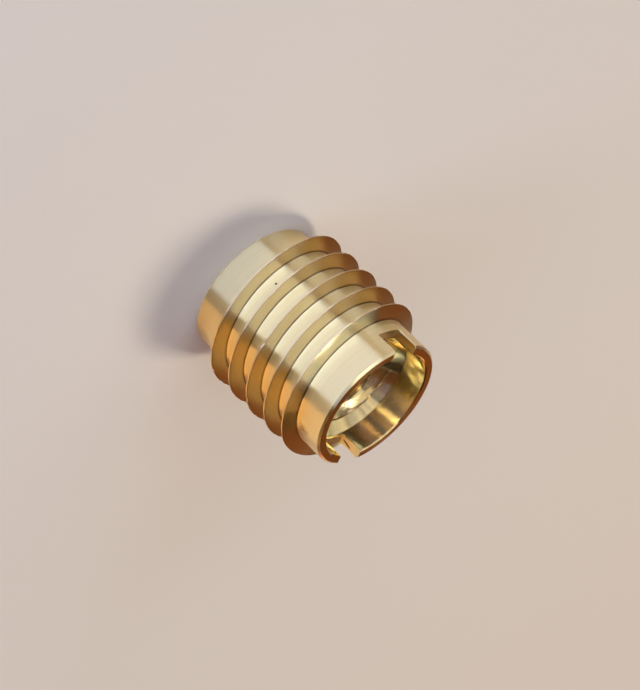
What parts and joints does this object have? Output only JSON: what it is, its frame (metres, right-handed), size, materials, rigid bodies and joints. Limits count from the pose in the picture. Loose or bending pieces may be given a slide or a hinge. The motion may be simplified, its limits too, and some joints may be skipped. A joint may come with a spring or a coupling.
{
  "type": "threaded insert for wood",
  "caption": "Turned brass bush with a coarse knife thread outside, a machine-threaded bore, and a recessed rim with a slot for a driving blade.",
  "frame": {"origin": "middle of the plain end, which the insert stands on", "axes": "+Z along the bore, from the plain end up to the slotted rim; X along the drive slot"},
  "size_m": [0.0154, 0.0154, 0.0162],
  "materials": {
    "brass": "bright turned brass, fine lathe lines, light handling marks"
  },
  "bodies": {
    "root": {"insert": "brass"}
  },
  "joints": []
}
